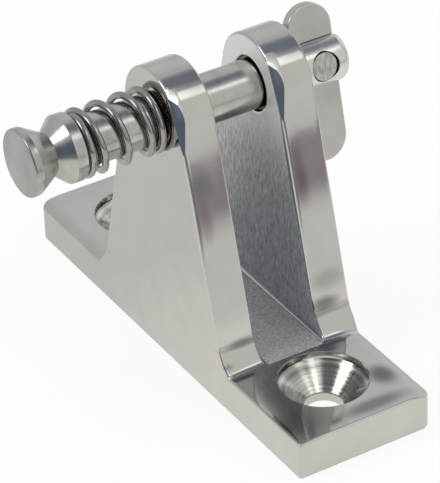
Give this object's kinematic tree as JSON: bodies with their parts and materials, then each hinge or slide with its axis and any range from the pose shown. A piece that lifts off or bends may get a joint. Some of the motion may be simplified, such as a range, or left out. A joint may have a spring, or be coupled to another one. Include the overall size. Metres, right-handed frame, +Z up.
{
  "type": "deck hinge",
  "caption": "Quick-release deck hinge: a flat screw-down base with two tall ears, and a sprung pin through them held by a drop-nose toggle.",
  "frame": {"origin": "centre of the base's underside, on the deck", "axes": "+Z up from the deck, +X along the pin from its button to its toggle, +Y along the base"},
  "size_m": [0.0448, 0.0636, 0.0418],
  "materials": {
    "polished_casting": "polished",
    "turned_steel": "turned, satin",
    "spring_wire": "bright drawn wire",
    "rivet_steel": "scratched",
    "satin_plate": "satin"
  },
  "bodies": {
    "bracket": {"bracket": "polished_casting"},
    "spring": {"spring": "spring_wire"},
    "pin": {"pin": "turned_steel", "cross_pin": "rivet_steel"},
    "toggle": {"toggle": "satin_plate"}
  },
  "joints": [
    {"name": "pin_spin", "type": "hinge", "parent": "bracket", "child": "spring", "pos_m": [0, 0, 0.0342], "axis": [1, 0, 0], "continuous": true},
    {"name": "pin_push", "type": "slide", "parent": "spring", "child": "pin", "axis": [1, 0, 0], "range_m": [0, 0.006], "stiffness_N_per_m": 4900, "springref_m": -0.0008, "deforming": ["spring"]},
    {"name": "toggle_turn", "type": "hinge", "parent": "pin", "child": "toggle", "pos_m": [0.01348, 0, 0.0342], "axis": [0, -0.9744, 0.225], "range_deg": [0, 90]}
  ],
  "couplings": [
    {"joint": "toggle_turn", "follows": "pin_push", "rad_per_m": 261.79}
  ]
}
